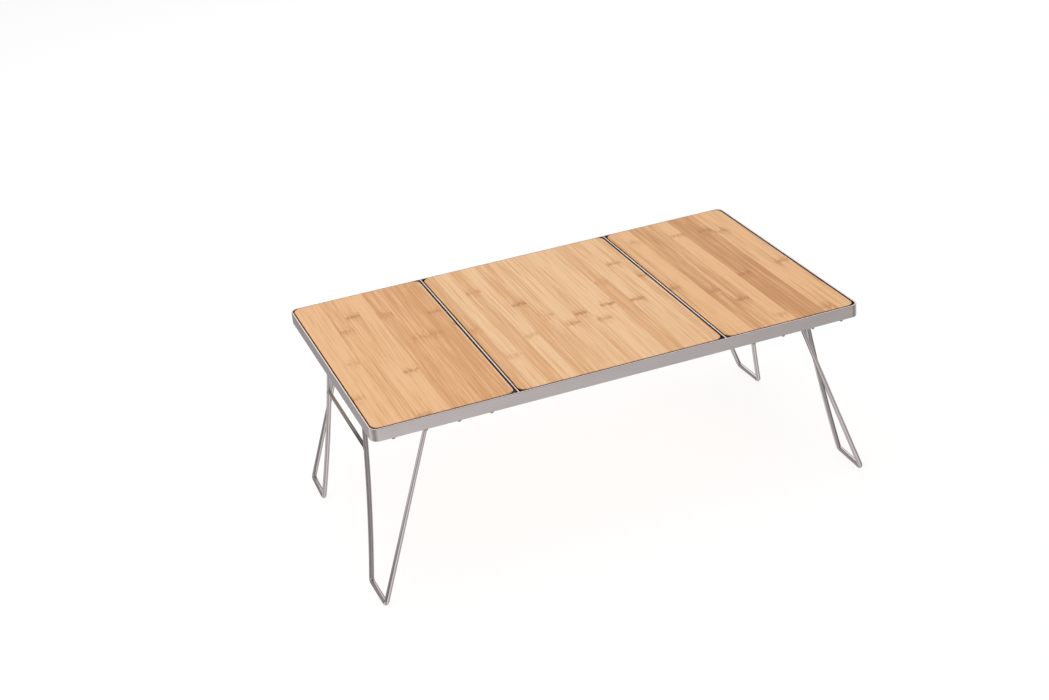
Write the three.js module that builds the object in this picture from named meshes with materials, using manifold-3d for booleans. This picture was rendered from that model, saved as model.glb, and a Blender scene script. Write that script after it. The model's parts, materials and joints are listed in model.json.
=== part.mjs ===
// Folding side table: three loose bamboo boards in a stainless flat-bar rim on two folding rod legs.
// Millimetres, +Z up, X along the table, origin on the floor under the middle of the table.
import * as THREE from 'three';
import Module from 'manifold-3d';
import { mergeVertices } from 'three/addons/utils/BufferGeometryUtils.js';

const wasm = await Module();
wasm.setup();

// Clearance that keeps touching or welded pieces apart.
const GAP = 0.3;

// Rim of flat bar.
const RIM_LENGTH = 600;
const RIM_DEPTH = 366;
const RIM_TOP = 234;
const RIM_HEIGHT = 15;
const RIM_THICKNESS = 2;
const RIM_CORNER = 10;
const RIM_BOTTOM = RIM_TOP - RIM_HEIGHT;
const INNER_LENGTH = RIM_LENGTH - 2 * RIM_THICKNESS;
const INNER_DEPTH = RIM_DEPTH - 2 * RIM_THICKNESS;

// Two flat bars that part the rim into three bays.
const DIVIDER_X = 127.5;
const DIVIDER_THICKNESS = 2;

// Round wires across the side bays: three carry a board, one carries a leg.
const SUPPORT_WIRE_X = { outer: 275.6, inner: 199.5, innermost: 161.6 };
const SUPPORT_WIRE_RADIUS = 2.5;
const SUPPORT_WIRE_Z = RIM_BOTTOM + 1;
const HINGE_WIRE_RADIUS = 2;
const HINGE_X = 238;
const HINGE_Z = RIM_BOTTOM;
const WIRE_END_INSET = 0.2;

// Bamboo boards, a little proud of the rim.
// Each lies near the left of its bay, with more play on its right.
const BOARD_TOP = RIM_TOP + 0.7;
const BOARD_BOTTOM = SUPPORT_WIRE_Z + SUPPORT_WIRE_RADIUS + GAP;
const BOARD_PLAY = 1.2;
const BOARD_PLAY_RIGHT = 2.2;
const BOARD_CORNER = 10;
const BOARD_EDGE = 1;

// Groove across the underside of each side board, where the tops of the folded outer arms go.
const GROOVE_INNER_X = HINGE_X - 23;
const GROOVE_OUTER_X = HINGE_X + 4;
const GROOVE_DEPTH = 6.2;

// Corner plates under the middle board.
const GUSSET_LEG = 20;
const GUSSET_THICKNESS = 1.5;

// Leg rods. Each is bent from one rod: outer arm, foot, inner arm and stop finger.
const ROD_RADIUS = 3;
const FOOT_OUTER = { x: 308.4, y: 165.2 };
const FOOT_INNER = { x: 309.6, y: 109.2 };
const OUTER_ARM_TOP_Y = 163.8;
const OUTER_ARM_END = 2;
const INNER_ARM_TOP = { x: 280.8, y: 73.4 };
const INNER_ARM_BOW = 2.4;
const INNER_ARM_STATIONS = 6;
const FINGER_LENGTH = 14;
const FINGER_Z = SUPPORT_WIRE_Z - SUPPORT_WIRE_RADIUS - GAP - ROD_RADIUS;
const BEND_RADIUS = 4.5;
const BEND_STATIONS = 5;

// Sleeves on the hinge wires, and the bar that joins the two rods of a leg.
const SLEEVE_RADIUS = 3;
const SLEEVE_BORE = HINGE_WIRE_RADIUS + GAP;
const SLEEVE_LENGTH = 23;
const SLEEVE_OUTER_END = INNER_DEPTH / 2 - 8;
const CROSSBAR_RADIUS = 2.5;
const CROSSBAR_Z = 159.5;
const CROSSBAR_END_GAP = 0.8;

// The outer arm lies against the inward side of its sleeve, this far from the hinge axis.
const OUTER_ARM_OFFSET = SLEEVE_RADIUS + GAP + ROD_RADIUS;

const ROUND_SIDES = 16;

const steel = { color: 0xa9a4a1, roughness: 0.38, metalness: 1 };
const wire = { color: 0xb4b0ae, roughness: 0.3, metalness: 1 };
const bamboo = { color: 0xdcab78, roughness: 0.55, metalness: 0 };

const table = new THREE.Group();

function addPiece(name, geometry, finish, position = [0, 0, 0]) {
  const mesh = new THREE.Mesh(geometry, new THREE.MeshStandardMaterial(finish));
  mesh.name = name;
  mesh.position.set(...position);
  table.add(mesh);
}

function roundedRectangle(target, length, depth, radius) {
  const x = length / 2;
  const y = depth / 2;
  target.moveTo(x, -y + radius);
  target.lineTo(x, y - radius);
  target.absarc(x - radius, y - radius, radius, 0, Math.PI / 2);
  target.lineTo(-x + radius, y);
  target.absarc(-x + radius, y - radius, radius, Math.PI / 2, Math.PI);
  target.lineTo(-x, -y + radius);
  target.absarc(-x + radius, -y + radius, radius, Math.PI, 1.5 * Math.PI);
  target.lineTo(x - radius, -y);
  target.absarc(x - radius, -y + radius, radius, 1.5 * Math.PI, 2 * Math.PI);
  return target;
}

function solidOf(geometry) {
  const bare = geometry.clone();
  bare.deleteAttribute('normal');
  bare.deleteAttribute('uv');
  const merged = mergeVertices(bare);
  return new wasm.Manifold(new wasm.Mesh({
    numProp: 3,
    vertProperties: new Float32Array(merged.attributes.position.array),
    triVerts: new Uint32Array(merged.index.array),
  }));
}

function geometryOf(solid) {
  const mesh = solid.getMesh();
  const geometry = new THREE.BufferGeometry();
  geometry.setAttribute('position', new THREE.BufferAttribute(mesh.vertProperties, 3));
  geometry.setIndex(new THREE.BufferAttribute(mesh.triVerts, 1));
  geometry.computeVertexNormals();
  return geometry;
}

// A path through set stations, so that a bend is fine and a straight run is one step.
class StationPath extends THREE.Curve {
  constructor(points) {
    super();
    this.points = points;
  }

  getPoint(t, target = new THREE.Vector3()) {
    return target.copy(this.points[Math.round(t * (this.points.length - 1))]);
  }

  getPointAt(t, target) {
    return this.getPoint(t, target);
  }

  getTangentAt(t, target = new THREE.Vector3()) {
    const last = this.points.length - 1;
    const here = Math.round(t * last);
    const point = this.points[here];
    const before = point.clone().sub(this.points[Math.max(here - 1, 0)]).normalize();
    const after = this.points[Math.min(here + 1, last)].clone().sub(point).normalize();
    return target.addVectors(before, after).normalize();
  }
}

function roundBar(points, radius) {
  const section = new THREE.Shape();
  for (let side = 0; side < ROUND_SIDES; side += 1) {
    const angle = (2 * Math.PI * side) / ROUND_SIDES;
    const corner = [radius * Math.cos(angle), radius * Math.sin(angle)];
    if (side === 0) {
      section.moveTo(...corner);
    } else {
      section.lineTo(...corner);
    }
  }
  return new THREE.ExtrudeGeometry(section, {
    steps: points.length - 1,
    extrudePath: new StationPath(points),
  });
}

// The arc that rounds the corner at a point between its two neighbours.
function bendAt(before, corner, after) {
  const back = before.clone().sub(corner).normalize();
  const on = after.clone().sub(corner).normalize();
  const halfAngle = back.angleTo(on) / 2;
  const middle = back.clone().add(on).normalize();
  const centre = corner.clone().addScaledVector(middle, BEND_RADIUS / Math.sin(halfAngle));
  const start = corner.clone().addScaledVector(back, BEND_RADIUS / Math.tan(halfAngle)).sub(centre);
  const axis = new THREE.Vector3().crossVectors(back, on).normalize().negate();
  const turn = Math.PI - 2 * halfAngle;
  const arc = [];
  for (let station = 0; station <= BEND_STATIONS; station += 1) {
    const angle = (turn * station) / BEND_STATIONS;
    arc.push(start.clone().applyAxisAngle(axis, angle).add(centre));
  }
  return arc;
}

function wireGeometry(radius, length) {
  return new THREE.CylinderGeometry(radius, radius, length, ROUND_SIDES);
}

function bayWires(side) {
  const wires = Object.entries(SUPPORT_WIRE_X).map(([place, x]) => ({
    name: `support_wire_${side.name}_${place}`,
    x: side.sign * x,
    z: SUPPORT_WIRE_Z,
    radius: SUPPORT_WIRE_RADIUS,
  }));
  wires.push({
    name: `hinge_wire_${side.name}`,
    x: side.sign * HINGE_X,
    z: HINGE_Z,
    radius: HINGE_WIRE_RADIUS,
  });
  return wires;
}

function addRim(wires) {
  const outline = roundedRectangle(new THREE.Shape(), RIM_LENGTH, RIM_DEPTH, RIM_CORNER);
  const inside = roundedRectangle(
    new THREE.Path(),
    INNER_LENGTH,
    INNER_DEPTH,
    RIM_CORNER - RIM_THICKNESS,
  );
  outline.holes.push(inside);
  const band = new THREE.ExtrudeGeometry(outline, {
    depth: RIM_HEIGHT,
    bevelEnabled: false,
    curveSegments: 8,
  });
  let solid = solidOf(band.translate(0, 0, RIM_BOTTOM));
  for (const { x, z, radius } of wires) {
    const notch = wireGeometry(radius + GAP, RIM_DEPTH + 10).translate(x, 0, z);
    solid = solid.subtract(solidOf(notch));
  }
  addPiece('rim_band', geometryOf(solid), steel);
}

function addDividers(sides) {
  for (const side of sides) {
    const bar = new THREE.BoxGeometry(DIVIDER_THICKNESS, INNER_DEPTH - 2 * GAP, RIM_HEIGHT);
    addPiece(`divider_${side.name}`, bar, steel, [
      side.sign * DIVIDER_X,
      0,
      RIM_BOTTOM + RIM_HEIGHT / 2,
    ]);
  }
}

function addWires(wires) {
  for (const { name, x, z, radius } of wires) {
    addPiece(name, wireGeometry(radius, RIM_DEPTH - 2 * WIRE_END_INSET), wire, [x, 0, z]);
  }
}

function addGussets(sides, ends) {
  const cornerX = DIVIDER_X - DIVIDER_THICKNESS / 2 - GAP;
  const cornerY = INNER_DEPTH / 2 - GAP;
  for (const side of sides) {
    for (const end of ends) {
      const corners = [
        new THREE.Vector2(side.sign * cornerX, end.sign * cornerY),
        new THREE.Vector2(side.sign * (cornerX - GUSSET_LEG), end.sign * cornerY),
        new THREE.Vector2(side.sign * cornerX, end.sign * (cornerY - GUSSET_LEG)),
      ];
      const plate = new THREE.ExtrudeGeometry(new THREE.Shape(corners), {
        depth: GUSSET_THICKNESS,
        bevelEnabled: false,
      });
      addPiece(`middle_gusset_${end.name}_${side.name}`, plate, steel, [
        0,
        0,
        BOARD_BOTTOM - GAP - GUSSET_THICKNESS,
      ]);
    }
  }
}

function addBoard(name, lowX, highX, grooveX) {
  const leftX = lowX + BOARD_PLAY;
  const rightX = highX - BOARD_PLAY_RIGHT;
  const outline = roundedRectangle(
    new THREE.Shape(),
    rightX - leftX,
    INNER_DEPTH - 2 * BOARD_PLAY,
    BOARD_CORNER,
  );
  const slab = new THREE.ExtrudeGeometry(outline, {
    depth: BOARD_TOP - BOARD_BOTTOM - 2 * BOARD_EDGE,
    bevelThickness: BOARD_EDGE,
    bevelSize: BOARD_EDGE,
    bevelOffset: -BOARD_EDGE,
    bevelSegments: 2,
    curveSegments: 6,
  });
  let solid = solidOf(slab.translate((leftX + rightX) / 2, 0, BOARD_BOTTOM + BOARD_EDGE));
  if (grooveX !== undefined) {
    const width = GROOVE_OUTER_X - GROOVE_INNER_X;
    const groove = new THREE.BoxGeometry(width, RIM_DEPTH, 2 * GROOVE_DEPTH);
    solid = solid.subtract(solidOf(groove.translate(grooveX, 0, BOARD_BOTTOM)));
  }
  addPiece(name, geometryOf(solid), bamboo);
}

function addBoards() {
  const dividerInner = DIVIDER_X - DIVIDER_THICKNESS / 2;
  const dividerOuter = DIVIDER_X + DIVIDER_THICKNESS / 2;
  const grooveX = (GROOVE_INNER_X + GROOVE_OUTER_X) / 2;
  addBoard('board_left', -INNER_LENGTH / 2, -dividerOuter, -grooveX);
  addBoard('board_middle', -dividerInner, dividerInner);
  addBoard('board_right', dividerOuter, INNER_LENGTH / 2, grooveX);
}

// Points of the bowed inner arm, from its foot corner to its top corner.
function innerArm(foot, top, bowDirection) {
  const middle = foot.clone().add(top).multiplyScalar(0.5);
  middle.x += 2 * INNER_ARM_BOW * bowDirection;
  const curve = new THREE.QuadraticBezierCurve3(foot, middle, top);
  return curve.getSpacedPoints(INNER_ARM_STATIONS);
}

// Where the straight outer arm ends, just past the point where it is nearest to the hinge axis.
function outerArmTop() {
  const run = HINGE_X - FOOT_OUTER.x;
  const rise = HINGE_Z - ROD_RADIUS;
  const reach = Math.hypot(run, rise);
  const slope = Math.atan2(rise, run) + Math.asin(OUTER_ARM_OFFSET / reach);
  const length = Math.sqrt(reach ** 2 - OUTER_ARM_OFFSET ** 2) + OUTER_ARM_END;
  return {
    x: FOOT_OUTER.x + length * Math.cos(slope),
    z: ROD_RADIUS + length * Math.sin(slope),
  };
}

function legRodPoints(side, end) {
  const place = (x, y, z) => new THREE.Vector3(side.sign * x, end.sign * y, z);
  const top = outerArmTop();
  const armTop = place(top.x, OUTER_ARM_TOP_Y, top.z);
  const footOuter = place(FOOT_OUTER.x, FOOT_OUTER.y, ROD_RADIUS);
  const footInner = place(FOOT_INNER.x, FOOT_INNER.y, ROD_RADIUS);
  const fingerCorner = place(INNER_ARM_TOP.x, INNER_ARM_TOP.y, FINGER_Z);
  const fingerTip = place(INNER_ARM_TOP.x - FINGER_LENGTH, INNER_ARM_TOP.y, FINGER_Z);
  const arm = innerArm(footInner, fingerCorner, -side.sign);
  return [
    armTop,
    ...bendAt(armTop, footOuter, footInner),
    ...bendAt(footOuter, footInner, arm[1]),
    ...arm.slice(1, -1),
    ...bendAt(arm.at(-2), fingerCorner, fingerTip),
    fingerTip,
  ];
}

// The point of the bowed inner arm at a height.
function innerArmAt(side, end, height) {
  const place = (x, y, z) => new THREE.Vector3(side.sign * x, end.sign * y, z);
  const foot = place(FOOT_INNER.x, FOOT_INNER.y, ROD_RADIUS);
  const top = place(INNER_ARM_TOP.x, INNER_ARM_TOP.y, FINGER_Z);
  const part = (height - foot.z) / (top.z - foot.z);
  const point = foot.clone().lerp(top, part);
  point.x -= side.sign * INNER_ARM_BOW * 4 * part * (1 - part);
  return point;
}

function sleeveGeometry() {
  const half = SLEEVE_LENGTH / 2;
  const profile = [
    new THREE.Vector2(SLEEVE_BORE, -half),
    new THREE.Vector2(SLEEVE_RADIUS, -half),
    new THREE.Vector2(SLEEVE_RADIUS, half),
    new THREE.Vector2(SLEEVE_BORE, half),
    new THREE.Vector2(SLEEVE_BORE, -half),
  ];
  return new THREE.LatheGeometry(profile, ROUND_SIDES);
}

function addLeg(side, ends) {
  for (const end of ends) {
    addPiece(`leg_${side.name}_rod_${end.name}`, roundBar(legRodPoints(side, end), ROD_RADIUS), steel);
    addPiece(`leg_${side.name}_sleeve_${end.name}`, sleeveGeometry(), steel, [
      side.sign * HINGE_X,
      end.sign * (SLEEVE_OUTER_END - SLEEVE_LENGTH / 2),
      HINGE_Z,
    ]);
  }
  const joint = innerArmAt(side, { sign: 1 }, CROSSBAR_Z);
  const length = 2 * (joint.y - ROD_RADIUS - CROSSBAR_END_GAP);
  addPiece(`leg_${side.name}_crossbar`, wireGeometry(CROSSBAR_RADIUS, length), steel, [
    joint.x,
    0,
    CROSSBAR_Z,
  ]);
}

const sides = [
  { name: 'left', sign: -1 },
  { name: 'right', sign: 1 },
];
const ends = [
  { name: 'front', sign: -1 },
  { name: 'back', sign: 1 },
];
const wires = sides.flatMap(bayWires);

addRim(wires);
addDividers(sides);
addWires(wires);
addGussets(sides, ends);
addBoards();
for (const side of sides) {
  addLeg(side, ends);
}

export default table;
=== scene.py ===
"""Looks of a folding side table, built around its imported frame. Metres, +Z up, X along the table."""

import json
import math
import random

import bpy
from mathutils import Matrix, Vector


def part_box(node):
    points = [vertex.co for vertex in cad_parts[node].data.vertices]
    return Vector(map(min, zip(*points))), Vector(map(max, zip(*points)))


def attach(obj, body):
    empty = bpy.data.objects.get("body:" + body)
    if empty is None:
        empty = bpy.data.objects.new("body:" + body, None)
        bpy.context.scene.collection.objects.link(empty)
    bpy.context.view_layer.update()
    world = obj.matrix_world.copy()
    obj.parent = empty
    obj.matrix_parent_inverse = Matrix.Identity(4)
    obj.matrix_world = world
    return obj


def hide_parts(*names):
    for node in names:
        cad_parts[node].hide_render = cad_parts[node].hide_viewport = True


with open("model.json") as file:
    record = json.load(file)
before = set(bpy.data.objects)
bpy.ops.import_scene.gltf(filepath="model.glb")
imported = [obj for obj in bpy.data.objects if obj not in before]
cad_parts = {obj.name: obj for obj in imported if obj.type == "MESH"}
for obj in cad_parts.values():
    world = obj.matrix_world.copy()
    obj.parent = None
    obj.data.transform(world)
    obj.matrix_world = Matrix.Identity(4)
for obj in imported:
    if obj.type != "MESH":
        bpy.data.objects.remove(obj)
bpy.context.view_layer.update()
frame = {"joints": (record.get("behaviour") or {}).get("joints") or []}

MM = 0.001
TOUCH_GAP = 0.3 * MM
UP = Vector((0, 0, 1))
LAY_MAP = "lay"

SIDES = {"left": -1, "right": 1}
ENDS = {"front": -1, "back": 1}

# Flat bar: rim, dividers and gussets.
RIM_THICKNESS = 2 * MM
RIM_CORNER = 10 * MM
FLAT_EDGE = 0.4 * MM
FLAT_EDGE_STEPS = 4
GUSSET_EDGE = 0.3 * MM
rim_low, rim_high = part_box("rim_band")
RAIL_INNER_Y = rim_high.y - RIM_THICKNESS
divider_low, divider_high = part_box("divider_right")
DIVIDER_X = (divider_low.x + divider_high.x) / 2

# Boards.
BOARD_CORNER = 10 * MM
BOARD_EDGE = 1.2 * MM
STRIP_WIDTH = 18.6 * MM
GROOVE_WIDTH = 27 * MM
GROOVE_DEPTH = 6.2 * MM
GROOVE_FROM_HINGE = 9.5 * MM

# Wires across the side bays.
WIRE_PLACES = ("outer", "inner", "innermost")
WIRE_EDGE = 0.5 * MM

# Leg rods.
hinge = {joint["child"]: joint for joint in frame["joints"] if joint["type"] == "hinge"}
HINGE_X = hinge["leg_right"]["pos_m"][0]
HINGE_Z = hinge["leg_right"]["pos_m"][2]
ROD_RADIUS = 3 * MM
FOOT_OUTER = (308.4 * MM, 165.2 * MM)
FOOT_INNER = (309.6 * MM, 109.2 * MM)
OUTER_ARM_TOP_Y = 163.8 * MM
OUTER_ARM_END = 2 * MM
INNER_ARM_TOP = (280.8 * MM, 73.4 * MM)
INNER_ARM_BOW = 2.4 * MM
FINGER_LENGTH = 14 * MM
FINGER_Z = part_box("support_wire_right_outer")[0].z - TOUCH_GAP - ROD_RADIUS
BEND_RADIUS = 4.5 * MM
BEND_STATIONS = 14
ARM_STATIONS = 24
ROUND_SIDES = 32
ROD_EDGE = 0.6 * MM

# Sleeves and crossbars.
SLEEVE_RADIUS = 3 * MM
SLEEVE_BORE = 2.3 * MM
SLEEVE_EDGE = 0.25 * MM
SLEEVE_SIDES = 40
OUTER_ARM_OFFSET = SLEEVE_RADIUS + TOUCH_GAP + ROD_RADIUS
BAR_RADIUS = 2.5 * MM
BAR_EDGE = 0.2 * MM
BAR_SINK = 0.6 * MM

# Weld beads: radius of each kind, and how uneven they are.
WELD_RADIUS = {
    "wire": 0.7 * MM,
    "gusset": 0.8 * MM,
    "divider": 1.0 * MM,
    "crossbar": 0.75 * MM,
    "sleeve": 0.9 * MM,
}
WELD_SIDES = 12
WELD_RIPPLE = 0.13
WELD_JITTER = 0.06
WIRE_WELD_STEPS = 14
GUSSET_WELD_STEPS = 12
DIVIDER_WELD_STEPS = 21
CROSSBAR_WELD_STEPS = 28
SLEEVE_WELD_STEPS = 10
SLEEVE_WELD_LENGTH = 7 * MM
SLEEVE_WELD_OUT = SLEEVE_RADIUS + 0.15 * MM
SLEEVE_WELD_ASIDE = 2.3 * MM

# Radiance of the studio around the table.
SWEEP_DARK = 0.42
SWEEP_LIGHT = 0.72
CEILING_LOW = 0.6
CEILING_HIGH = 0.3

# Floor: half its width, and the glow that keeps shadows faint.
FLOOR_HALF = 12.0
FLOOR_GLOW = 0.85

# Softboxes: place, size, power in watts, and whether surfaces mirror them. All face one point.
SOFTBOX_TARGET = (0, 0, 0.2)
SOFTBOXES = {
    "softbox_top": ((-0.3, -0.3, 2.3), (2.4, 2.0), 24.5, False),
    "softbox_back": ((0.9, 2.3, 1.5), (2.6, 1.2), 15, True),
    "softbox_left": ((-2.0, -1.2, 1.2), (1.4, 1.4), 9.5, True),
}

# Camera: angles in degrees, distances in metres, lens and sensor in millimetres.
CAMERA_AZIMUTH = -18.009
CAMERA_ELEVATION = 25.7205
CAMERA_ROLL = -6.1906
CAMERA_DISTANCE = 2.242
CAMERA_SLIDE = (-0.0716, 0.1576)
CAMERA_LENS = 60.54
CAMERA_SENSOR = 36.0


# ---------------------------------------------------------------- shader nodes

def srgb(red, green, blue):
    """An 8-bit display colour as scene-linear RGBA."""
    def linear(value):
        value /= 255
        return value / 12.92 if value <= 0.04045 else ((value + 0.055) / 1.055) ** 2.4
    return (linear(red), linear(green), linear(blue), 1.0)


class Graph:
    """A node tree with short calls for the nodes used here."""

    def __init__(self, tree):
        self.tree = tree

    def node(self, kind, **settings):
        made = self.tree.nodes.new(kind)
        for key, value in settings.items():
            setattr(made, key, value)
        return made

    def plug(self, socket, value):
        if isinstance(value, bpy.types.NodeSocket):
            self.tree.links.new(value, socket)
        else:
            socket.default_value = value

    def math(self, operation, first, second=0.0, third=0.0):
        made = self.node("ShaderNodeMath", operation=operation)
        for socket, value in zip(made.inputs, (first, second, third)):
            self.plug(socket, value)
        return made.outputs[0]

    def spread(self, value, low, high, to_low=0.0, to_high=1.0):
        made = self.node("ShaderNodeMapRange", interpolation_type="SMOOTHSTEP")
        for socket, given in zip(made.inputs, (value, low, high, to_low, to_high)):
            self.plug(socket, given)
        return made.outputs[0]

    def mix(self, factor, first, second, blend="MIX"):
        made = self.node("ShaderNodeMix", data_type="RGBA", blend_type=blend)
        self.plug(made.inputs["Factor"], factor)
        self.plug(made.inputs[6], first)
        self.plug(made.inputs[7], second)
        return made.outputs[2]

    def stretch(self, vector, scale, shift=(0.0, 0.0, 0.0)):
        made = self.node("ShaderNodeMapping")
        self.plug(made.inputs["Vector"], vector)
        made.inputs["Scale"].default_value = scale
        made.inputs["Location"].default_value = shift
        return made.outputs[0]

    def noise(self, vector, detail=2.0, roughness=0.5, distortion=0.0):
        made = self.node("ShaderNodeTexNoise")
        self.plug(made.inputs["Vector"], vector)
        made.inputs["Scale"].default_value = 1.0
        made.inputs["Detail"].default_value = detail
        made.inputs["Roughness"].default_value = roughness
        made.inputs["Distortion"].default_value = distortion
        return made.outputs["Fac"]

    def dice(self, *numbers):
        """A random number from 0 to 1 that stays the same for the same three numbers."""
        joined = self.node("ShaderNodeCombineXYZ")
        for socket, value in zip(joined.inputs, numbers):
            self.plug(socket, value)
        made = self.node("ShaderNodeTexWhiteNoise", noise_dimensions="3D")
        self.plug(made.inputs["Vector"], joined.outputs[0])
        return made.outputs["Value"]

    def apart(self, vector):
        made = self.node("ShaderNodeSeparateXYZ")
        self.plug(made.inputs[0], vector)
        return made.outputs


class Shader(Graph):
    """A material around a Principled surface."""

    def __init__(self, name):
        self.material = bpy.data.materials.new(name)
        self.material.use_nodes = True
        super().__init__(self.material.node_tree)
        self.surface = self.tree.nodes["Principled BSDF"]

    def set(self, **sockets):
        for key, value in sockets.items():
            self.plug(self.surface.inputs[key.replace("_", " ").title()], value)

    def bump(self, height, distance, strength=1.0):
        made = self.node("ShaderNodeBump")
        made.inputs["Strength"].default_value = strength
        made.inputs["Distance"].default_value = distance
        self.plug(made.inputs["Height"], height)
        self.plug(self.surface.inputs["Normal"], made.outputs[0])


# ---------------------------------------------------------------- materials

def steel(name, tone, roughness, grain_across, blotch, edge_tint):
    """Stainless steel with fine lines along the bar. The lay map holds metres along and round the bar."""
    shader = Shader(name)
    lay = shader.node("ShaderNodeUVMap", uv_map=LAY_MAP).outputs[0]
    place = shader.node("ShaderNodeTexCoord").outputs["Object"]
    fine = shader.noise(shader.stretch(lay, (45, grain_across, 1)), 3.0, 0.6)
    streak = shader.noise(shader.stretch(lay, (9, grain_across / 5, 1), (3.1, 7.7, 0)), 2.0)
    cloud = shader.noise(shader.stretch(place, (38, 38, 75)), 3.0, 0.55)
    light = shader.math("MULTIPLY_ADD", fine, 0.16, 0.84)
    light = shader.math("MULTIPLY_ADD", streak, 0.24, shader.math("SUBTRACT", light, 0.04))
    light = shader.math("MULTIPLY_ADD", cloud, blotch, shader.math("SUBTRACT", light, blotch / 2))
    grey = shader.mix(1.0, tone, light, "MULTIPLY")
    shader.set(base_color=grey, metallic=1.0)
    shader.set(specular_tint=edge_tint)
    rough = shader.math("MULTIPLY_ADD", fine, 0.16, roughness - 0.08)
    rough = shader.math("MULTIPLY_ADD", cloud, 0.12, shader.math("SUBTRACT", rough, 0.06))
    shader.set(roughness=rough)
    shader.bump(fine, 0.02 * MM, 0.6)
    return shader.material


def weld_steel():
    """Weld metal: duller than the bar, with straw heat colours in patches."""
    shader = Shader("weld_steel")
    place = shader.node("ShaderNodeTexCoord").outputs["Object"]
    patch = shader.noise(shader.stretch(place, (420, 420, 420)), 3.0, 0.6)
    grit = shader.noise(shader.stretch(place, (2600, 2600, 2600)), 2.0, 0.6)
    straw = shader.mix(shader.spread(patch, 0.48, 0.72), (0.42, 0.40, 0.39, 1), (0.36, 0.29, 0.20, 1))
    shader.set(base_color=straw, metallic=1.0)
    shader.set(roughness=shader.math("MULTIPLY_ADD", grit, 0.3, 0.3))
    shader.bump(grit, 0.05 * MM, 0.7)
    return shader.material


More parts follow.
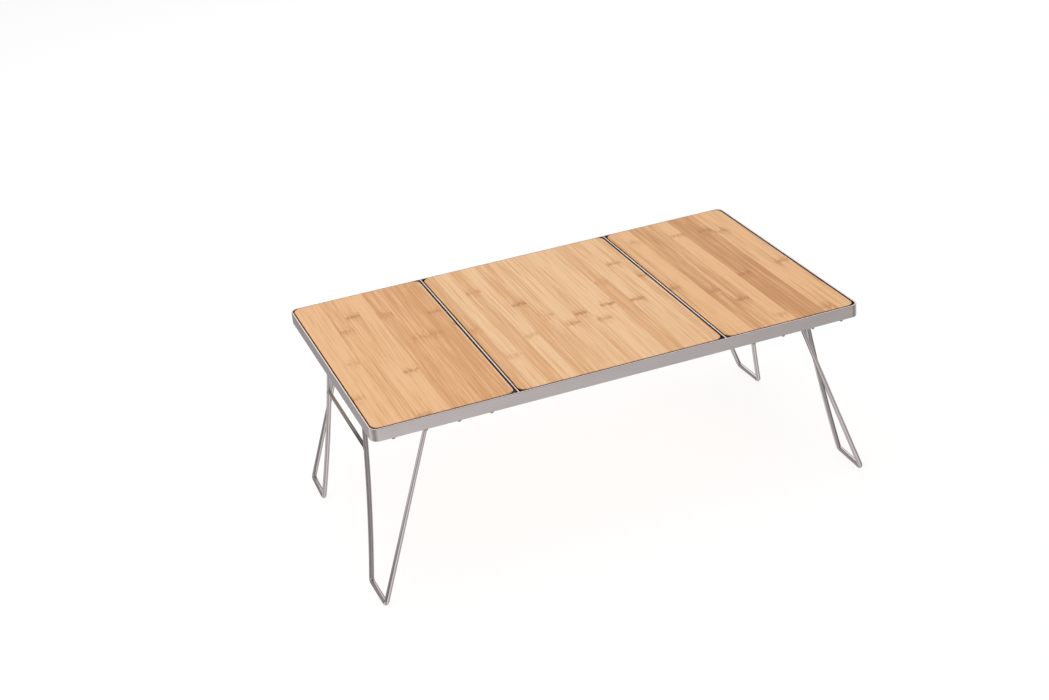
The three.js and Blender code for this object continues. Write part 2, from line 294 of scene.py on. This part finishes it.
def bamboo(name, seed, pale, deep, contrast, first_strip):
    """Strip bamboo. Each strip has its own tone, streaks along it and here and there a node across it."""
    shader = Shader(name)
    coords = shader.node("ShaderNodeTexCoord")
    place = coords.outputs["Object"]
    x, y, _ = shader.apart(place)
    across = shader.math("DIVIDE", shader.math("SUBTRACT", x, first_strip), STRIP_WIDTH)
    strip = shader.math("FLOOR", across)
    in_strip = shader.math("FRACT", across)
    shifted = shader.node("ShaderNodeCombineXYZ")
    shader.plug(shifted.inputs[0], x)
    shader.plug(shifted.inputs[1], shader.math("MULTIPLY_ADD", shader.dice(strip, seed, 9.1), 3.0, y))
    grain_place = shifted.outputs[0]

    # Distance along the strip to the nearest node. Every strip has its own node spacing and start.
    spacing = shader.math("MULTIPLY_ADD", shader.dice(strip, seed, 3.3), 0.11, 0.26)
    start = shader.math("MULTIPLY_ADD", shader.dice(strip, seed, 1.7), 0.4, 1.0)
    along = shader.math("DIVIDE", shader.math("ADD", y, start), spacing)
    piece = shader.math("ROUND", along)
    gap = shader.math("MULTIPLY", shader.math("SUBTRACT", along, piece), spacing)
    jagged = shader.noise(shader.stretch(grain_place, (620, 90, 1), (seed, seed, 0)), 2.0, 0.6)
    ragged_gap = shader.math("MULTIPLY_ADD", shader.math("SUBTRACT", jagged, 0.5), 15 * MM, gap)
    near = shader.math("ABSOLUTE", ragged_gap)
    node_band = shader.spread(near, 2.2 * MM, 6.0 * MM, 1.0, 0.0)
    node_halo = shader.spread(shader.math("ABSOLUTE", gap), 3 * MM, 22 * MM, 1.0, 0.0)
    fleck = shader.noise(shader.stretch(grain_place, (560, 150, 1), (0, seed, 0)), 1.0)
    fleck = shader.spread(fleck, 0.38, 0.6, 0.2, 1.0)
    strength = shader.math("POWER", shader.dice(strip, piece, seed + 0.5), 1.3)
    strength = shader.math("MULTIPLY_ADD", strength, 0.62, 0.16)
    node_dark = shader.math("MULTIPLY", shader.math("MULTIPLY", node_band, fleck), strength)

    # Tone: strip by strip, and soft streaks of three widths along each strip.
    strip_tone = shader.dice(strip, seed, 5.1)
    broad = shader.noise(shader.stretch(place, (26, 3.0, 1), (seed, 2.0, 0)), 1.0)
    streak = shader.noise(shader.stretch(grain_place, (330, 5.5, 1), (seed * 1.3, seed, 0)), 2.0, 0.6)
    line = shader.noise(shader.stretch(grain_place, (950, 13, 1), (seed * 1.3, 0, 0)), 2.0, 0.6)
    flame = shader.noise(shader.stretch(grain_place, (330, 55, 1), (seed, 4.0, 0)), 2.0, 0.6)
    tone = shader.math("MULTIPLY_ADD", strip_tone, contrast, 0.31 - contrast / 2)
    tone = shader.math("MULTIPLY_ADD", broad, 0.28, tone)
    tone = shader.math("MULTIPLY_ADD", shader.math("SUBTRACT", streak, 0.5), 2.5, tone)
    tone = shader.math("MULTIPLY_ADD", shader.math("SUBTRACT", line, 0.5), 2.1, tone)
    flame = shader.math("MULTIPLY", shader.math("SUBTRACT", flame, 0.45), node_halo)
    tone = shader.math("MULTIPLY_ADD", flame, 2.6, tone)
    tone = shader.math("MULTIPLY_ADD", node_halo, 0.12, tone)
    colour = shader.mix(shader.spread(tone, -0.2, 1.2), pale, deep)

    # Fine fibres, short dark vessels and the hair line between two strips.
    fibre = shader.noise(shader.stretch(grain_place, (2400, 24, 1), (0, seed, 0)), 3.0, 0.65)
    vessel = shader.noise(shader.stretch(grain_place, (1500, 55, 1), (seed, 0, 0)), 1.0)
    vessel = shader.spread(vessel, 0.6, 0.76)
    joint = shader.math("ABSOLUTE", shader.math("SUBTRACT", in_strip, 0.5))
    joint = shader.spread(joint, 0.484, 0.5)
    shade = shader.math("MULTIPLY_ADD", fibre, 0.22, 0.89)
    shade = shader.math("MULTIPLY_ADD", vessel, -0.09, shade)
    shade = shader.math("MULTIPLY_ADD", joint, -0.09, shade)
    colour = shader.mix(1.0, colour, shade, "MULTIPLY")
    colour = shader.mix(node_dark, colour, srgb(168, 98, 54))

    # Sides, rounded edges and groove walls darkened brown: partly scorch from the saw, partly painted
    # shade of the gap between board and rim.
    level = shader.math("ABSOLUTE", shader.apart(coords.outputs["Normal"])[2])
    scorch_and_gap_shade = shader.spread(level, 0.25, 0.8, 1.0, 0.0)
    brown_mottle = shader.noise(shader.stretch(place, (45, 45, 300)), 3.0, 0.6)
    scorch_and_shade_brown = shader.mix(brown_mottle, srgb(84, 50, 32), srgb(132, 86, 56))
    colour = shader.mix(scorch_and_gap_shade, colour, scorch_and_shade_brown)

    shader.set(base_color=colour)
    rough = shader.math("MULTIPLY_ADD", fibre, 0.14, 0.46)
    rough = shader.math("MULTIPLY_ADD", vessel, 0.1, rough)
    shader.set(roughness=rough)
    shader.surface.inputs["Specular IOR Level"].default_value = 0.25
    height = shader.math("MULTIPLY_ADD", vessel, -0.5, fibre)
    height = shader.math("MULTIPLY_ADD", joint, -0.8, height)
    height = shader.math("MULTIPLY_ADD", node_dark, -0.8, height)
    shader.bump(height, 0.04 * MM, 0.7)
    return shader.material


def floor_finish():
    """White studio floor that glows like a light table, so that shadows stay faint."""
    shader = Shader("studio_floor")
    place = shader.node("ShaderNodeTexCoord").outputs["Object"]
    cloud = shader.noise(shader.stretch(place, (2, 2, 2)), 2.0)
    colour = shader.mix(cloud, (0.20, 0.20, 0.20, 1), (0.21, 0.21, 0.21, 1))
    shader.set(base_color=colour, roughness=0.9)
    shader.surface.inputs["Specular IOR Level"].default_value = 0.1
    shader.set(emission_color=(1, 1, 1, 1), emission_strength=FLOOR_GLOW)
    return shader.material


# ---------------------------------------------------------------- mesh building

def add_piece(name, vertices, faces, material, lay=None, smooth=True):
    """A mesh object. lay gives each face corner's place along and across the grain, in metres."""
    mesh = bpy.data.meshes.new(name)
    mesh.from_pydata([tuple(v) for v in vertices], [], faces)
    mesh.materials.append(material)
    if lay is not None:
        layer = mesh.uv_layers.new(name=LAY_MAP)
        for corner, uv in enumerate(lay):
            layer.data[corner].uv = uv
    mesh.polygons.foreach_set("use_smooth", [smooth] * len(mesh.polygons))
    mesh.validate()
    obj = bpy.data.objects.new(name, mesh)
    bpy.context.scene.collection.objects.link(obj)
    return obj


def flatten_shading(obj):
    """Keeps the big flat faces flat and shades only the rounded edges."""
    modifier = obj.modifiers.new("flat_faces", "WEIGHTED_NORMAL")
    modifier.mode = "FACE_AREA"
    modifier.weight = 100


def place_piece(obj, body, slot, *nodes):
    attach(obj, body)
    if nodes:
        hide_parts(*nodes)


def directions(points, closed):
    """The direction along a path at each of its points."""
    count = len(points)
    found = []
    for here in range(count):
        before = points[here - 1] if here or closed else None
        after = points[(here + 1) % count] if here + 1 < count or closed else None
        along = Vector((0, 0, 0))
        if before is not None:
            along += (points[here] - before).normalized()
        if after is not None:
            along += (after - points[here]).normalized()
        found.append(along.normalized())
    return found


def swept(name, points, section, material, closed=False, up=None, scales=None):
    """A bar of one section swept along a path, closed on itself or capped at both ends."""
    around = len(section)
    vertices = []
    across = None
    for here, along in enumerate(directions(points, closed)):
        if up is not None:
            across = along.cross(up).normalized()
        elif across is None:
            across = along.orthogonal().normalized()
        else:
            across = (across - along * across.dot(along)).normalized()
        over = across.cross(along)
        scale = scales[here] if scales else 1.0
        for a, b in section:
            vertices.append(points[here] + (across * a + over * b) * scale)
    girth = [0.0]
    for here in range(around):
        step = Vector(section[(here + 1) % around]) - Vector(section[here])
        girth.append(girth[-1] + step.length)
    reach = [0.0]
    for here in range(len(points)):
        reach.append(reach[-1] + (points[(here + 1) % len(points)] - points[here]).length)
    faces = []
    lay = []
    for row in range(len(points) if closed else len(points) - 1):
        first = row * around
        second = ((row + 1) % len(points)) * around
        for column in range(around):
            beside = (column + 1) % around
            faces.append((first + column, second + column, second + beside, first + beside))
            low, high = (reach[row], reach[row + 1]), (girth[column], girth[column + 1])
            lay += [(low[0], high[0]), (low[1], high[0]), (low[1], high[1]), (low[0], high[1])]
    if not closed:
        last = (len(points) - 1) * around
        faces.append(tuple(range(around)))
        faces.append(tuple(last + k for k in reversed(range(around))))
        lay += [tuple(v) for v in section] + [tuple(v) for v in reversed(section)]
    return add_piece(name, vertices, faces, material, lay)


def round_section(radius, sides=ROUND_SIDES):
    turns = [2 * math.pi * k / sides for k in range(sides)]
    return [(radius * math.cos(t), radius * math.sin(t)) for t in turns]


def rounded_outline(half_x, half_y, radius, steps):
    """A rectangle with round corners, anticlockwise from the middle of its front side."""
    outline = []
    for quarter, (sx, sy) in enumerate(((1, -1), (1, 1), (-1, 1), (-1, -1))):
        for step in range(steps + 1):
            turn = math.pi / 2 * (quarter - 1 + step / steps)
            outline.append((
                sx * (half_x - radius) + radius * math.cos(turn),
                sy * (half_y - radius) + radius * math.sin(turn),
            ))
    return outline


def softened_ends(points, radius, edge, steps=4):
    """Adds close stations at both ends of a round bar so that its rims are rounded over."""
    head = (points[1] - points[0]).normalized()
    tail = (points[-2] - points[-1]).normalized()
    turns = [math.pi / 2 * step / steps for step in range(steps + 1)]
    insets = [edge * (1 - math.sin(turn)) for turn in turns]
    scales = [1 - edge * (1 - math.sin(turn)) / radius for turn in reversed(turns)]
    start = [points[0] + head * inset for inset in reversed(insets)]
    finish = [points[-1] + tail * inset for inset in insets]
    path = start + points[1:-1] + finish
    return path, scales + [1.0] * (len(points) - 2) + scales[::-1]


def round_bar(name, points, radius, edge, material):
    path, scales = softened_ends(points, radius, edge)
    return swept(name, path, round_section(radius), material, scales=scales)


def bead(name, points, radius, material, seed, closed=False):
    """A weld bead along a path, rippled like laid weld metal, thin at its ends if it is open."""
    dice = random.Random(seed)
    count = len(points)
    scales = []
    for here in range(count):
        ripple = 1 + WELD_RIPPLE * math.sin(here * 2 * math.pi / 4)
        ripple += dice.uniform(-WELD_JITTER, WELD_JITTER)
        taper = 1.0 if closed else math.sin(math.pi * (here + 0.6) / (count + 0.2)) ** 0.5
        scales.append(ripple * taper)
    return swept(name, points, round_section(radius, WELD_SIDES), material, closed, scales=scales)


# ---------------------------------------------------------------- frame

def add_rim(material):
    half = RIM_THICKNESS / 2
    outline = rounded_outline(rim_high.x - half, rim_high.y - half, RIM_CORNER - half, 16)
    middle = (rim_low.z + rim_high.z) / 2
    path = [Vector((x, y, middle)) for x, y in outline]
    section = rounded_outline(half, (rim_high.z - rim_low.z) / 2, FLAT_EDGE, FLAT_EDGE_STEPS)
    rim = swept("flat_rim", path, section, material, closed=True, up=UP)
    flatten_shading(rim)
    place_piece(rim, "frame", "frame_steel", "rim_band")


def add_dividers(material):
    height = divider_high.z - divider_low.z
    section = rounded_outline(RIM_THICKNESS / 2, height / 2, FLAT_EDGE, FLAT_EDGE_STEPS)
    for side, sign in SIDES.items():
        middle = (divider_low.z + divider_high.z) / 2
        ends = [Vector((sign * DIVIDER_X, y, middle)) for y in (-RAIL_INNER_Y, RAIL_INNER_Y)]
        bar = swept(f"flat_divider_{side}", ends, section, material, up=UP)
        flatten_shading(bar)
        place_piece(bar, "frame", "frame_steel", f"divider_{side}")


def add_wires(material, weld):
    for side in SIDES:
        nodes = {place: f"support_wire_{side}_{place}" for place in WIRE_PLACES}
        nodes["hinge"] = f"hinge_wire_{side}"
        for place, node in nodes.items():
            low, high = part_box(node)
            radius = (high.z - low.z) / 2
            centre = (low + high) / 2
            ends = [Vector((centre.x, y, centre.z)) for y in (low.y, high.y)]
            wire = round_bar(f"wire_{side}_{place}", ends, radius, WIRE_EDGE, material)
            place_piece(wire, "frame", "rod_steel", node)
            for end, sign in ENDS.items():
                add_wire_weld(f"weld_wire_{side}_{place}_{end}", centre, radius, sign, weld)


def add_wire_weld(name, centre, radius, sign, material):
    """A bead over the upper half of a wire where it meets the inner face of a long rail."""
    turns = [math.pi * (k / WIRE_WELD_STEPS) for k in range(WIRE_WELD_STEPS + 1)]
    y = sign * (RAIL_INNER_Y - 0.15 * MM)
    path = [
        Vector((centre.x + radius * math.cos(t), y, centre.z + radius * math.sin(t)))
        for t in turns
    ]
    weld = bead(name, path, WELD_RADIUS["wire"], material, name)
    place_piece(weld, "frame", "frame_steel")


def add_gussets(material, weld):
    for end, end_sign in ENDS.items():
        for side, side_sign in SIDES.items():
            node = f"middle_gusset_{end}_{side}"
            low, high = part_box(node)
            corner_x = high.x if side_sign > 0 else low.x
            corner_y = high.y if end_sign > 0 else low.y
            leg = high.x - low.x
            add_gusset(f"gusset_plate_{end}_{side}", node, corner_x, corner_y,
                       -side_sign * leg, -end_sign * leg, low.z, high.z, material)
            add_gusset_welds(f"weld_gusset_{end}_{side}", corner_x, corner_y,
                             -side_sign * leg, -end_sign * leg, low.z, weld)


def add_gusset(name, node, x, y, run_x, run_y, bottom, top, material):
    """A triangular corner plate with rounded edges and blunt points."""
    blunt = 0.06
    outline = [
        (x, y),
        (x + run_x * (1 - blunt), y), (x + run_x * (1 - blunt), y + run_y * blunt),
        (x + run_x * blunt, y + run_y * (1 - blunt)), (x, y + run_y * (1 - blunt)),
    ]
    centre = Vector((x + run_x / 3, y + run_y / 3))
    edge = GUSSET_EDGE
    rings = ((edge, bottom), (0.0, bottom + edge), (0.0, top - edge), (edge, top))
    vertices = []
    for inset, height in rings:
        for px, py in outline:
            towards = (centre - Vector((px, py))).normalized() * inset
            vertices.append((px + towards.x, py + towards.y, height))
    count = len(outline)
    turn = 1 if run_x * run_y > 0 else -1
    faces = []
    for ring in range(len(rings) - 1):
        for here in range(count):
            there = (here + 1) % count
            quad = (ring * count + here, ring * count + there,
                    (ring + 1) * count + there, (ring + 1) * count + here)
            faces.append(quad[::turn])
    top_face = tuple(range((len(rings) - 1) * count, len(rings) * count))
    faces.append(top_face[::turn])
    faces.append(tuple(range(count))[::-turn])
    lay = [(vertices[v][0], vertices[v][1]) for face in faces for v in face]
    plate = add_piece(name, vertices, faces, material, lay)
    flatten_shading(plate)
    place_piece(plate, "frame", "frame_steel", node)


def add_gusset_welds(name, x, y, run_x, run_y, bottom, material):
    """Two short beads under a plate, one along the divider and one along the rail."""
    steps = [0.3 + 0.4 * k / GUSSET_WELD_STEPS for k in range(GUSSET_WELD_STEPS + 1)]
    z = bottom - 0.1 * MM
    for tag, path in (
        ("rail", [Vector((x + run_x * s, y, z)) for s in steps]),
        ("divider", [Vector((x, y + run_y * s, z)) for s in steps]),
    ):
        weld = bead(f"{name}_{tag}", path, WELD_RADIUS["gusset"], material, name + tag)
        place_piece(weld, "frame", "frame_steel")


def add_divider_welds(material):
    """Upright fillet beads where the dividers meet the long rails."""
    top = rim_high.z - 1.0 * MM
    bottom = rim_low.z + 1.5 * MM
    run = top - bottom
    steps = range(DIVIDER_WELD_STEPS + 1)
    for side, side_sign in SIDES.items():
        for end, end_sign in ENDS.items():
            for face, offset in (("in", -1), ("out", 1)):
                x = side_sign * (DIVIDER_X + offset * RIM_THICKNESS / 2)
                y = end_sign * (RAIL_INNER_Y - 0.1 * MM)
                path = [Vector((x, y, bottom + run * k / DIVIDER_WELD_STEPS)) for k in steps]
                name = f"weld_divider_{side}_{end}_{face}"
                weld = bead(name, path, WELD_RADIUS["divider"], material, name)
                place_piece(weld, "frame", "frame_steel")


# ---------------------------------------------------------------- boards

def add_board(name, node, body, material, groove_x=None):
    """A slab with round corners and rounded-over edges."""
    low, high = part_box(node)
    centre = (low + high) / 2
    half = (high - low) / 2
    steps = 6
    turns = [math.pi / 2 * k / steps for k in range(steps + 1)]
    rings = [(BOARD_EDGE * (1 - math.sin(t)), low.z + BOARD_EDGE * (1 - math.cos(t))) for t in turns]
    rings += [(BOARD_EDGE * (1 - math.cos(t)), high.z - BOARD_EDGE * (1 - math.sin(t))) for t in turns]
    vertices = []
    for inset, height in rings:
        outline = rounded_outline(half.x - inset, half.y - inset, BOARD_CORNER - inset, 12)
        vertices += [(centre.x + x, centre.y + y, height) for x, y in outline]
    count = len(outline)
    faces = []
    for ring in range(len(rings) - 1):
        first = ring * count
        second = first + count
        for here in range(count):
            there = (here + 1) % count
            faces.append((first + here, first + there, second + there, second + here))
    faces.append(tuple(range((len(rings) - 1) * count, len(rings) * count)))
    faces.append(tuple(reversed(range(count))))
    board = add_piece(name, vertices, faces, material)
    if groove_x is not None:
        cut_groove(board, groove_x, low.z)
    flatten_shading(board)
    place_piece(board, body, "bamboo", node)


def cut_groove(board, groove_x, bottom):
    """Cuts the groove for the folded outer arms out of the underside of a side board."""
    half = Vector((GROOVE_WIDTH / 2, rim_high.y, GROOVE_DEPTH))
    signs = [(a, b, c) for c in (-1, 1) for a, b in ((-1, -1), (1, -1), (1, 1), (-1, 1))]
    centre = Vector((groove_x, 0, bottom))
    corners = [centre + Vector((a * half.x, b * half.y, c * half.z)) for a, b, c in signs]
    sides = [(k, (k + 1) % 4, (k + 1) % 4 + 4, k + 4) for k in range(4)]
    faces = sides + [(3, 2, 1, 0), (4, 5, 6, 7)]
    cutter = add_piece("groove_cutter", corners, faces, board.data.materials[0])
    cut = board.modifiers.new("groove", "BOOLEAN")
    cut.operation = "DIFFERENCE"
    cut.solver = "EXACT"
    cut.object = cutter
    bpy.context.view_layer.update()
    shaped = board.evaluated_get(bpy.context.evaluated_depsgraph_get())
    whole = board.data
    board.data = bpy.data.meshes.new_from_object(shaped)
    board.modifiers.clear()
    bpy.data.objects.remove(cutter)
    bpy.data.meshes.remove(whole)


# ---------------------------------------------------------------- legs

def bend_at(before, corner, after):
    """The arc that rounds the corner at a point between its two neighbours."""
    back = (before - corner).normalized()
    on = (after - corner).normalized()
    half = back.angle(on) / 2
    centre = corner + (back + on).normalized() * (BEND_RADIUS / math.sin(half))
    first = corner + back * (BEND_RADIUS / math.tan(half)) - centre
    last = corner + on * (BEND_RADIUS / math.tan(half)) - centre
    turn = math.pi - 2 * half
    arc = []
    for station in range(BEND_STATIONS + 1):
        part = station / BEND_STATIONS
        weight_first = math.sin(turn * (1 - part)) / math.sin(turn)
        weight_last = math.sin(turn * part) / math.sin(turn)
        arc.append(centre + first * weight_first + last * weight_last)
    return arc


def inner_arm_point(sign, end_sign, part):
    """A point of the bowed inner arm, from its foot corner at 0 to its top corner at 1."""
    foot = Vector((sign * FOOT_INNER[0], end_sign * FOOT_INNER[1], ROD_RADIUS))
    top = Vector((sign * INNER_ARM_TOP[0], end_sign * INNER_ARM_TOP[1], FINGER_Z))
    point = foot.lerp(top, part)
    point.x -= sign * INNER_ARM_BOW * 4 * part * (1 - part)
    return point


def outer_arm_top():
    """X and z of the end of the straight outer arm, which lies against the inward side of its sleeve."""
    run = HINGE_X - FOOT_OUTER[0]
    rise = HINGE_Z - ROD_RADIUS
    reach = math.hypot(run, rise)
    slope = math.atan2(rise, run) + math.asin(OUTER_ARM_OFFSET / reach)
    length = math.sqrt(reach ** 2 - OUTER_ARM_OFFSET ** 2) + OUTER_ARM_END
    return FOOT_OUTER[0] + length * math.cos(slope), ROD_RADIUS + length * math.sin(slope)


def rod_path(sign, end_sign):
    def place(x, y, z):
        return Vector((sign * x, end_sign * y, z))

    top_x, top_z = outer_arm_top()
    arm_top = place(top_x, OUTER_ARM_TOP_Y, top_z)
    foot_outer = place(*FOOT_OUTER, ROD_RADIUS)
    foot_inner = place(*FOOT_INNER, ROD_RADIUS)
    finger_corner = place(*INNER_ARM_TOP, FINGER_Z)
    finger_tip = place(INNER_ARM_TOP[0] - FINGER_LENGTH, INNER_ARM_TOP[1], FINGER_Z)
    arm = [inner_arm_point(sign, end_sign, k / ARM_STATIONS) for k in range(ARM_STATIONS + 1)]
    return (
        [arm_top]
        + bend_at(arm_top, foot_outer, foot_inner)
        + bend_at(foot_outer, foot_inner, arm[2])
        + arm[2:-2]
        + bend_at(arm[-3], finger_corner, finger_tip)
        + [finger_tip]
    )


def add_sleeve(name, node, body, material):
    """A short tube on the hinge wire, with its rims rounded over."""
    low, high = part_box(node)
    centre = (low + high) / 2
    half = (high.y - low.y) / 2
    outline = rounded_outline((SLEEVE_RADIUS - SLEEVE_BORE) / 2, half, SLEEVE_EDGE, 3)
    middle = (SLEEVE_RADIUS + SLEEVE_BORE) / 2
    turns = [2 * math.pi * k / SLEEVE_SIDES for k in range(SLEEVE_SIDES)]
    vertices = []
    for turn in turns:
        for out, along in outline:
            radius = middle + out
            vertices.append((
                centre.x + radius * math.cos(turn),
                centre.y + along,
                centre.z + radius * math.sin(turn),
            ))
    count = len(outline)
    faces = []
    lay = []
    for row in range(len(turns)):
        first = row * count
        second = ((row + 1) % len(turns)) * count
        for here in range(count):
            there = (here + 1) % count
            faces.append((first + here, first + there, second + there, second + here))
            arc = [row * 0.5 * MM, (row + 1) * 0.5 * MM]
            run = [vertices[first + here][1], vertices[first + there][1]]
            lay += [(run[0], arc[0]), (run[1], arc[0]), (run[1], arc[1]), (run[0], arc[1])]
    sleeve = add_piece(name, vertices, faces, material, lay)
    flatten_shading(sleeve)
    place_piece(sleeve, body, "rod_steel", node)


def add_crossbar(side, sign, material, weld):
    """The bar between the two inner arms of a leg, with a fillet bead round each end."""
    node = f"leg_{side}_crossbar"
    low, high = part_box(node)
    height = (low.z + high.z) / 2
    part = (height - ROD_RADIUS) / (FINGER_Z - ROD_RADIUS)
    joint = inner_arm_point(sign, 1, part)
    reach = joint.y - ROD_RADIUS + BAR_SINK
    ends = [Vector((joint.x, y, height)) for y in (-reach, reach)]
    bar = round_bar(f"cross_bar_{side}", ends, BAR_RADIUS, BAR_EDGE, material)
    place_piece(bar, f"leg_{side}", "rod_steel", node)
    for end, end_sign in ENDS.items():
        centre = inner_arm_point(sign, end_sign, part)
        path = []
        for step in range(CROSSBAR_WELD_STEPS):
            turn = 2 * math.pi * step / CROSSBAR_WELD_STEPS
            x = BAR_RADIUS * math.cos(turn)
            z = BAR_RADIUS * math.sin(turn)
            lean = end_sign * z * (INNER_ARM_TOP[1] - FOOT_INNER[1]) / (FINGER_Z - ROD_RADIUS)
            reach_in = math.sqrt(ROD_RADIUS ** 2 - x ** 2)
            path.append(centre + Vector((x, lean - end_sign * reach_in, z)))
        name = f"weld_cross_{side}_{end}"
        ring = bead(name, path, WELD_RADIUS["crossbar"], weld, name, closed=True)
        place_piece(ring, f"leg_{side}", "rod_steel")


def add_sleeve_welds(side, sign, end, end_sign, material):
    """Beads on both sides of the outer arm, along the line where it lies against its sleeve."""
    top_x, top_z = outer_arm_top()
    lean = Vector((top_x - FOOT_OUTER[0], top_z - ROD_RADIUS)).normalized()
    for tag, offset in (("low", -1), ("high", 1)):
        path = []
        for step in range(SLEEVE_WELD_STEPS + 1):
            along = (step / SLEEVE_WELD_STEPS - 0.5) * SLEEVE_WELD_LENGTH
            x = HINGE_X - SLEEVE_WELD_OUT * lean.y + lean.x * along
            z = HINGE_Z + SLEEVE_WELD_OUT * lean.x + lean.y * along
            y = OUTER_ARM_TOP_Y + offset * SLEEVE_WELD_ASIDE
            path.append(Vector((sign * x, end_sign * y, z)))
        name = f"weld_sleeve_{side}_{end}_{tag}"
        weld = bead(name, path, WELD_RADIUS["sleeve"], material, name)
        place_piece(weld, f"leg_{side}", "rod_steel")


def add_leg(side, sign, material, weld):
    body = f"leg_{side}"
    for end, end_sign in ENDS.items():
        path = rod_path(sign, end_sign)
        rod = round_bar(f"bent_rod_{side}_{end}", path, ROD_RADIUS, ROD_EDGE, material)
        place_piece(rod, body, "rod_steel", f"leg_{side}_rod_{end}")
        add_sleeve(f"hinge_sleeve_{side}_{end}", f"leg_{side}_sleeve_{end}", body, material)
        add_sleeve_welds(side, sign, end, end_sign, weld)
    add_crossbar(side, sign, material, weld)


# ---------------------------------------------------------------- stage

def add_floor():
    half = FLOOR_HALF
    corners = [(-half, -half, 0), (half, -half, 0), (half, half, 0), (-half, half, 0)]
    floor = add_piece("floor", corners, [(0, 1, 2, 3)], floor_finish(), smooth=False)
    floor.visible_glossy = False


def add_world():
    """The studio around the table: a dim ceiling, and below it a sweep that is brighter on three sides."""
    world = bpy.data.worlds.new("studio")
    bpy.context.scene.world = world
    world.use_nodes = True
    graph = Graph(world.node_tree)
    x, y, z = graph.apart(graph.node("ShaderNodeTexCoord").outputs["Generated"])
    bearing = graph.math("ARCTAN2", x, graph.math("MULTIPLY", y, -1.0))
    lobe = graph.math("COSINE", graph.math("MULTIPLY", bearing, 3.0))
    sweep = graph.math("MULTIPLY_ADD", lobe, SWEEP_LIGHT / 2, SWEEP_DARK + SWEEP_LIGHT / 2)
    sweep = graph.math("MULTIPLY", sweep, graph.spread(z, -0.46, -0.27, 1.15, 0.5))
    ceiling = graph.spread(z, 0.0, 1.0, CEILING_LOW, CEILING_HIGH)
    light = graph.node("ShaderNodeMix", data_type="FLOAT")
    graph.plug(light.inputs["Factor"], graph.spread(z, -0.16, 0.02))
    graph.plug(light.inputs[2], sweep)
    graph.plug(light.inputs[3], ceiling)
    background = world.node_tree.nodes["Background"]
    background.inputs["Color"].default_value = (1, 1, 1, 1)
    graph.plug(background.inputs["Strength"], light.outputs[0])


def add_softbox(name, place, size, power, reflected):
    lamp = bpy.data.lights.new(name, "AREA")
    lamp.shape = "RECTANGLE"
    lamp.size, lamp.size_y = size
    lamp.energy = power
    box = bpy.data.objects.new(name, lamp)
    box.location = place
    box.rotation_mode = "QUATERNION"
    aim = Vector(SOFTBOX_TARGET) - Vector(place)
    box.rotation_quaternion = aim.to_track_quat("-Z", "Y")
    box.visible_glossy = reflected
    bpy.context.scene.collection.objects.link(box)


def add_camera():
    azimuth, elevation, roll = map(math.radians, (CAMERA_AZIMUTH, CAMERA_ELEVATION, CAMERA_ROLL))
    back = Vector((
        math.sin(azimuth) * math.cos(elevation),
        -math.cos(azimuth) * math.cos(elevation),
        math.sin(elevation),
    ))
    right = (-back).cross(UP).normalized()
    over = right.cross(-back)
    across = math.cos(roll) * right + math.sin(roll) * over
    upward = -math.sin(roll) * right + math.cos(roll) * over
    lens = bpy.data.cameras.new("camera")
    lens.lens = CAMERA_LENS
    lens.sensor_width = CAMERA_SENSOR
    lens.sensor_fit = "HORIZONTAL"
    camera = bpy.data.objects.new("camera", lens)
    camera.location = (
        back * CAMERA_DISTANCE + across * CAMERA_SLIDE[0] + upward * CAMERA_SLIDE[1]
    )
    camera.rotation_mode = "QUATERNION"
    camera.rotation_quaternion = Matrix((across, upward, back)).transposed().to_quaternion()
    bpy.context.scene.collection.objects.link(camera)
    bpy.context.scene.camera = camera


def main():
    flat = steel("flat_steel", srgb(190, 182, 181), roughness=0.32,
                 grain_across=5200, blotch=0.26, edge_tint=(0.9, 0.9, 0.9, 1))
    round_wire = steel("rod_steel_finish", srgb(190, 183, 182), roughness=0.2,
                       grain_across=4200, blotch=0.14, edge_tint=(0.5, 0.49, 0.48, 1))
    weld = weld_steel()

    add_camera()
    add_floor()
    add_world()
    for name, settings in SOFTBOXES.items():
        add_softbox(name, *settings)

    add_rim(flat)
    add_dividers(flat)
    add_gussets(flat, weld)
    add_wires(round_wire, weld)
    add_divider_welds(weld)
    for side, sign in SIDES.items():
        add_leg(side, sign, round_wire, weld)

    groove_middle = HINGE_X - GROOVE_FROM_HINGE
    # Seed, pale tone, deep tone, contrast between strips and middle of the groove.
    boards = {
        "left": (3.0, srgb(243, 192, 140), srgb(214, 153, 97), 0.9, -groove_middle),
        "middle": (11.0, srgb(246, 201, 153), srgb(220, 162, 106), 0.7, None),
        "right": (37.0, srgb(241, 189, 135), srgb(203, 142, 88), 1.1, groove_middle),
    }
    for place, (seed, pale, deep, contrast, groove_x) in boards.items():
        node = f"board_{place}"
        first_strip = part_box(node)[0].x - 4 * MM
        finish = bamboo(f"bamboo_{place}", seed, pale, deep, contrast, first_strip)
        add_board(f"bamboo_board_{place}", node, node, finish, groove_x)

    bpy.context.scene.view_settings.view_transform = "Standard"


main()
